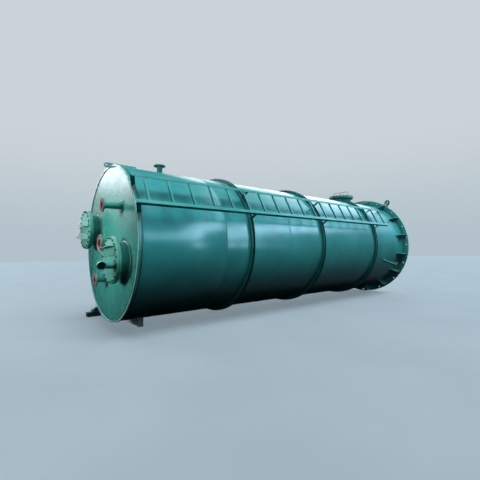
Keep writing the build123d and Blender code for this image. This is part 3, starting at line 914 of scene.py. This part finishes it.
def cover_rib(name, heel, flat, turn):
    """Angle across a cover with its standing leg at the heel and a slanted brace at its far end, painted near
    white as a highlight.
    """
    side, face = math.copysign(1, flat), MANWAY_FACE
    crest = face + RIB_LEG
    bar = angle_bar(name, abs(flat), RIB_LEG, RIB_PLATE, RIB_LENGTH)
    axes = Matrix(((0, -side, 0, heel), (-side, 0, 0, 0), (0, 0, -1, face), (0, 0, 0, 1)))
    tidy_faces(put(bar, axes))
    low, high = sorted((heel, heel - flat))
    end = RIB_LENGTH / 2
    brace = block("rib_brace", (low, end, face), (high, end + BRACE_PLATE, crest))
    outward = Vector((-RIB_LEG * side, 0, abs(flat)))
    sawn(brace, (heel, 0, crest), outward)
    sawn(brace, (heel, 0, crest - BRACE_WIDTH), -outward)
    # The toe faces of the flat legs are painted dark as the shadow under them.
    paint_faces(bar, (COVER_PAINT, GROOVE_SHADE_PAINT), lambda middle, normal: (
        int(middle.z < face + RIB_PLATE + 0.001 and abs(normal.x) > 0.6)))
    brace.data.materials.append(BRACE_HIGHLIGHT_PAINT)
    rib = weld_up(name, [soften(bar, RING_ROUND), soften(brace, THIN_ROUND)])
    return put(rib, about("Z", turn))


def head_place(side):
    angle, reach = math.radians(MANWAY_ANGLE), side * MANWAY_RADIUS
    return on_head(reach * math.cos(angle), reach * math.sin(angle))


def cover_ribs():
    """Two angles on each head cover; the near ones make room for the elbow."""
    for label, (side, heels, flat, turn) in RIB_PAIRS.items():
        ribs = weld_up(f"{label}_cover_ribs", [cover_rib("cover_rib", heel, flat, turn) for heel in heels])
        if label == "near":
            room = round_bar(ELBOW_ROOM, ROOM_LOW, ROOM_HIGH, BORE_FLATS)
            cut(ribs, put(room, at(*ELBOW_PLACE, 0)))
        finish_piece(put(ribs, head_place(side)), COVER_PAINT, "head_paint", f"{label}_manway_ribs")


def vent_elbow():
    runs = [ELBOW_STRAIGHT, (ELBOW_BEND, 90, (1, 0, 0))]
    elbow = soften(bent_bar("vent_bend", ELBOW_RADIUS, runs, BORE_FLATS, ELBOW_WALL), THIN_ROUND)
    put(elbow, head_place(1) @ at(*ELBOW_PLACE, MANWAY_FACE) @ about("Z", ELBOW_TURN))
    finish_piece(elbow, FITTING_PAINT, "head_paint", "vent_elbow")


def cover_handle():
    """Bow of round bar over the side cover, with a post under its middle."""
    leg, bend = HANDLE_LEVEL - HANDLE_BEND, (HANDLE_BEND, 90, (-1, 0, 0))
    bow = bent_bar("handle_bow", HANDLE_BAR, [leg, bend, 2 * (HANDLE_REACH - HANDLE_BEND), bend, leg])
    put(bow, at(0, -HANDLE_REACH, 0))
    post = bent_bar("handle_post", HANDLE_POST, [HANDLE_LEVEL])
    handle = soften(weld_up("cover_handle", [bow, post]), 0)
    put(handle, on_shell(*SIDE_MANWAY) @ at(0, 0, SIDE_FACE))
    finish_piece(handle, HANDLE_PAINT, "handle_paint", "side_manway_handle")


def manways():
    manway("near_head", head_place(1), MANWAY_FACE, "near")
    manway("far_head", head_place(-1), MANWAY_FACE, "far")
    manway("side", on_shell(*SIDE_MANWAY), SIDE_FACE, "side", True)
    cover_ribs()
    vent_elbow()
    cover_handle()


# Nozzles
def nozzle(name, place, face, size, cad_node, curved=False):
    """Pipe with a flange primed on its face; heights are along local Z."""
    root = SHELL_IN if curved else 0
    pipe, rim = size.pipe / 2, size.flange / 2
    bore, raised = pipe - size.wall, size.circle / 2 - size.hole / 2 - 0.008
    back, low_face = face - size.thickness, face - RAISED_FACE
    outline = [(bore, root), (bore, face), (raised, face), (raised, low_face), (rim, low_face), (rim, back),
               (pipe + NECK_FILLET, back), (pipe, back - NECK_FILLET), (pipe, root)]
    body = turned(name, outline, PIPE_FLATS)
    drill = round_bar(size.hole / 2, back - CUT_OVER, face + CUT_OVER, HOLE_FLATS)
    put(drill, at(size.circle / 2, 0, 0))
    cut(body, ring_of("bolt_bores", drill, size.count, math.pi / size.count))
    soften(body, THIN_ROUND)

    def finish_of(middle, normal):
        if math.hypot(middle.x, middle.y) < bore + 0.002:
            return 2
        return int(normal.z > 0.5 and middle.z > face - 0.003)
    paint_faces(body, (FITTING_PAINT, PRIMER, BORE_PAINT), finish_of)
    finish_piece(put(body, place), FITTING_PAINT, "head_paint", cad_node)
    bead = root_weld(name + "_weld", pipe, PIPE_WELD, curved, PIPE_FLATS)
    finish_piece(put(bead, place), PALE_WELD_SHEEN, "head_paint")


def nozzles():
    for label, (place, face, size) in HEAD_NOZZLES.items():
        nozzle(f"{label}_branch", on_head(*place), face, size, f"{label}_nozzle")
    for label, (place, face, size) in SHELL_NOZZLES.items():
        nozzle(f"{label}_branch", on_shell(*place), face, size, f"{label}_nozzle", True)
    plate = soften(turned("branch_pad", PAD, PIPE_FLATS), PAD_ROUND)
    put(plate, on_head(*HEAD_NOZZLES["upper"][0]))
    finish_piece(plate, FITTING_PAINT, "head_paint", "upper_nozzle_pad")


# Lugs
def lug_disc(radius, across):
    return put(round_bar(radius, -LUG_HALF, LUG_HALF, PIPE_FLATS), across)


def lug_eye(radius, across):
    return put(round_bar(radius, -CUT_OVER, CUT_OVER, EYE_FLATS), across)


def lifting_plate():
    """Plate on edge along the top of the shell; its round end with the eye stands past the shell's edge."""
    tip, half, low = HOIST_TIP, HOIST_HALF, SHELL + SEAT_GAP
    body = block("hoist_plate", (HOIST_LENGTH - tip, -LUG_HALF, low), (half - tip, LUG_HALF, low + 2 * half))
    across = at(half - tip, 0, SHELL + half) @ about("X", 90)
    plate = cut(fused(body, lug_disc(half, across)), lug_eye(HOIST_EYE, across))
    band = round_bar(BAND_EDGE + SEAT_GAP, BAND_FOOT - SEAT_GAP, TOP, SHELL_FLATS)
    cut(plate, put(band, ABOUT_VESSEL))
    finish_piece(soften(plate, PLATE_ROUND, 40), FITTING_PAINT, "shell_paint", "lifting_plate")


def tail_lug():
    """Eye plate with a round head on the edge of the base ring."""
    foot, eye = BASE_RING + SEAT_GAP, BASE_RING + TAIL_RISE
    across = at(0, 0, eye) @ about("Y", 90)
    head = lug_disc(TAIL_HEAD, across)
    web = block("web", (-LUG_HALF, -TAIL_HEAD, foot), (LUG_HALF, TAIL_HEAD, eye))
    plate = cut(fused(head, web), lug_eye(TAIL_EYE, across))
    plate.name = "tail_eye"
    soften(plate, PLATE_ROUND, 40)
    finish_piece(put(plate, on_shell(*TAIL_PLACE)), FITTING_PAINT, "shell_paint", "tailing_lug")


# Rest
def baulk(name, cad_node):
    low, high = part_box(cad_node)
    piece = block(name, low, high)
    open_up(piece)
    bpy.ops.mesh.subdivide(number_cuts=3)
    close_up()
    finish_piece(soften(piece, TIMBER_ROUND), BEAM_TIMBER, "rest_timber", cad_node)


def rest():
    baulk("cross_baulk", "rest_beam")
    baulk("side_baulk", "rest_runner")
    low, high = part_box("rest_saddle")
    cradle = block("shaped_block", low, (high.x, high.y, FLOOR + CRADLE_HEIGHT))
    cut(cradle, put(round_bar(SHELL + SEAT_GAP, *CRADLE_REACH, SHELL_FLATS), ABOUT_VESSEL))
    finish_piece(soften(cradle, STOP_ROUND), SADDLE_TIMBER, "saddle_timber", "rest_saddle")
    low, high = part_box("rest_stop")
    centre = (low + high) / 2
    drum = round_bar(STOP_RADIUS, -STOP_HALF, STOP_HALF, BORE_FLATS)
    put(drum, at(centre.x, centre.y, low.z) @ about("X", 90))
    sawn(drum, (0, 0, low.z), (0, 0, -1))
    drum.name = "half_round"
    finish_piece(soften(drum, STOP_ROUND), STOP_PAINT, "stop_paint", "rest_stop")


shell()
rings()
base()
ladder()
manways()
nozzles()
lifting_plate()
tail_lug()
rest()

# Floor, light and camera
FLOOR_SIZE, FLOOR_MIDDLE, FLOOR_SINK, FLOOR_GLOW = 120, -3, 0.0005, 1.5
FLOOR_PAINT, FLOOR_PATCH = srgb(98, 109, 115), srgb(94, 105, 112)
WALL_FOOT, WALL_HEAD, WALL_RISE = srgb(178, 193, 202), srgb(202, 211, 216), (0.0, 0.35)
NEAR_TINT, FAR_TINT, FAR_TO_NEAR = (0.46, 0.76, 1.0, 1.0), (0.84, 0.92, 1.0, 1.0), (0.25, -0.1)
FILL_TINT, FILL_RISE, FILL_STRENGTH = (0.84, 0.94, 1.0, 1.0), (-0.02, 0.05), 0.14
KEY_WAY, KEY_STRENGTH, KEY_SPREAD = (0.05, -0.46, 0.887), 5.0, 40
LAMP_PLACE, LAMP_TARGET = (-10.6, -0.2, 0.7), (-6.57, 0, 0)
LAMP_WIDTH, LAMP_POWER, LAMP_SPREAD = 1.9, 13, 25
CAMERA_PLACE = (-7.922, -4.536, -0.156)
CAMERA_YAW, CAMERA_PITCH, CAMERA_ROLL = 0.6822, 0.0409, -0.0131
CAMERA_LENS, CAMERA_SENSOR = 23.797, 36.0

# What the gloss mirrors. Along is how far a direction runs to the foot of the vessel, rise how far up.
# Each ramp has the marks that it lies between and, unless they are nought and one, its levels there.
ROW_SILL, ROW_LINTEL = (0.62, 0.7, 0.06, 0.26), (0.38, 0.6, 0.22, 0.42)
SILL_BLUR, LINTEL_BLUR = (-0.04, 0.06), (-0.07, 0.05)
ROW_LEVEL, ROW_FADE = (0.3, 0.65, 7.0, 13.0), (0.86, 0.76, 0.12, 1.0)
PATCH_ALONG, PATCH_RISE, PATCH_LEVEL = (0.61, 0.03, 0.04), (-0.04, 0.025, 0.035), 15.0
HIGH_RISE, HIGH_ALONG = (0.4, 0.55), (0.6, 0.78, 0.0, 3.4)
DIM_RISE, DIM_ALONG = (0.0, 0.12, 0.0, 0.3), (0.5, 0.85, 0.1, 0.16)
FACE_LOW, FACE_TOP = (0.05, 0.125), (0.18, 0.225, 0.0, 7.0)
FACE_ALONG, FACE_END, FACE_TO_GLOW = (-0.26, -0.335, 0.7, 1.6), (-0.42, -0.35), (-0.1, 0.1)
GLOW_RISE, GLOW_FADE = (0.0, 0.3, 0.0, 3.4), (0.62, 0.42, 0.1, 1.0)
GLOW_START, GLOW_END = (0.38, 0.6, 0.1, 1.0), (0.9, 0.76, 0.45, 1.0)
UPPER_START, UPPER_END, UPPER_ALONG = (0.35, 0.5), (0.85, 0.65), (0.6, 0.76, 0.0, 2.2)


def floor():
    """Pale floor; a little glow of its own stands for light from all round, so shadows stay soft."""
    clear_selection()
    bpy.ops.mesh.primitive_plane_add(size=FLOOR_SIZE, location=(FLOOR_MIDDLE, 0, FLOOR - FLOOR_SINK))
    ground = bpy.context.object
    ground.name = "pale_floor"
    material, tree, shader = new_material("floor_screed")
    patch = effect(tree, PATCHES, Scale=0.7, Low=0.3, High=0.7)
    tone = blend_colour(tree, patch, FLOOR_PAINT, FLOOR_PATCH)
    tree.links.new(tone, shader.inputs["Base Color"])
    tree.links.new(tone, shader.inputs["Emission Color"])
    shader.inputs["Emission Strength"].default_value = FLOOR_GLOW
    shader.inputs["Roughness"].default_value = 0.85
    ground.data.materials.append(material)
    ground.visible_diffuse = False
    ground.visible_glossy = False


def near_windows(tree, along, rise):
    """Mirrored in the shell: a row of windows, a bright patch on the floor and a dim hall above."""
    over = less(tree, rise, ramp(tree, along, *ROW_SILL))
    under = less(tree, ramp(tree, along, *ROW_LINTEL), rise)
    row = product(tree, ramp(tree, over, *SILL_BLUR), ramp(tree, under, *LINTEL_BLUR))
    row = product(tree, row, ramp(tree, along, *ROW_LEVEL))
    row = product(tree, row, ramp(tree, along, *ROW_FADE))
    patch = product(tree, hump(tree, along, *PATCH_ALONG), hump(tree, rise, *PATCH_RISE))
    row = total(tree, row, product(tree, patch, PATCH_LEVEL))
    high = product(tree, ramp(tree, rise, *HIGH_RISE), ramp(tree, along, *HIGH_ALONG))
    dim = total(tree, ramp(tree, rise, *DIM_RISE), ramp(tree, along, *DIM_ALONG))
    return total(tree, row, total(tree, high, dim))


def far_windows(tree, along, rise):
    """Mirrored in the top head: dim low down, bright at its upper edge; past the shell's top an even glow."""
    face = total(tree, ramp(tree, rise, *FACE_LOW), ramp(tree, rise, *FACE_TOP))
    for fall in (FACE_ALONG, FACE_END):
        face = product(tree, face, ramp(tree, along, *fall))
    glow = product(tree, ramp(tree, rise, *GLOW_RISE), ramp(tree, rise, *GLOW_FADE))
    for fall in (GLOW_START, GLOW_END):
        glow = product(tree, glow, ramp(tree, along, *fall))
    upper = product(tree, ramp(tree, rise, *UPPER_START), ramp(tree, rise, *UPPER_END))
    glow = total(tree, glow, product(tree, upper, ramp(tree, along, *UPPER_ALONG)))
    return blend_level(tree, ramp(tree, along, *FACE_TO_GLOW), face, glow)


def backdrop():
    """Pale to the eye, dim to matt paint; in gloss, windows on both sides."""
    world = bpy.data.worlds.new("pale_room")
    bpy.context.scene.world = world
    world.use_nodes = True
    tree = world.node_tree
    shown = tree.nodes["Background"]
    way = node(tree, "SeparateXYZ", a=node(tree, "TexCoord").outputs["Generated"])
    along, across, rise = way.outputs["X"], way.outputs["Y"], way.outputs["Z"]
    wall = blend_colour(tree, ramp(tree, rise, *WALL_RISE), WALL_FOOT, WALL_HEAD)
    tree.links.new(wall, shown.inputs["Color"])
    near_side = ramp(tree, across, *FAR_TO_NEAR)
    level = blend_level(tree, near_side, far_windows(tree, along, rise), near_windows(tree, along, rise))
    tint = blend_colour(tree, near_side, FAR_TINT, NEAR_TINT)
    gloss = node(tree, "Background", Color=tint, Strength=level)
    above = product(tree, ramp(tree, rise, *FILL_RISE), FILL_STRENGTH)
    fill = node(tree, "Background", Color=FILL_TINT, Strength=above)
    path = node(tree, "LightPath").outputs
    light = blend_light(tree, path["Is Glossy Ray"], fill.outputs[0], gloss.outputs[0])
    mixed = blend_light(tree, path["Is Camera Ray"], light, shown.outputs[0])
    tree.links.new(mixed, tree.nodes["World Output"].inputs["Surface"])


def hang(light, place, turn):
    """A lamp that gives shade and colour but no reflection."""
    lamp = bpy.data.objects.new(light.name, light)
    bpy.context.collection.objects.link(lamp)
    lamp.location = place
    lamp.rotation_euler = turn.to_euler()
    lamp.visible_glossy = False


def face_lamp():
    """Round soft lamp on the top head."""
    light = bpy.data.lights.new("face", "AREA")
    light.shape = "DISK"
    light.size = LAMP_WIDTH
    light.energy = LAMP_POWER
    light.spread = math.radians(LAMP_SPREAD)
    aim = Vector(LAMP_TARGET) - Vector(LAMP_PLACE)
    hang(light, LAMP_PLACE, aim.to_track_quat("-Z", "Y"))


def overhead():
    """Even soft light from above the near side."""
    light = bpy.data.lights.new("key", "SUN")
    light.energy = KEY_STRENGTH
    light.angle = math.radians(KEY_SPREAD)
    hang(light, (0, 0, 0), Vector(KEY_WAY).to_track_quat("Z", "Y"))


def camera():
    yaw, pitch, roll = CAMERA_YAW, CAMERA_PITCH, CAMERA_ROLL
    ahead = Vector((math.sin(yaw) * math.cos(pitch), math.cos(yaw) * math.cos(pitch), math.sin(pitch)))
    right = Vector((math.cos(yaw), -math.sin(yaw), 0))
    up = right.cross(ahead)
    across = math.cos(roll) * right + math.sin(roll) * up
    up = math.cos(roll) * up - math.sin(roll) * right
    turn = Matrix((across, up, -ahead)).transposed().to_4x4()
    lens = bpy.data.cameras.new("camera")
    lens.lens = CAMERA_LENS
    lens.sensor_width = CAMERA_SENSOR
    eye = bpy.data.objects.new("camera", lens)
    bpy.context.collection.objects.link(eye)
    eye.matrix_world = at(*CAMERA_PLACE) @ turn
    bpy.context.scene.camera = eye


floor()
backdrop()
overhead()
face_lamp()
camera()
bpy.context.scene.view_settings.view_transform = "Standard"
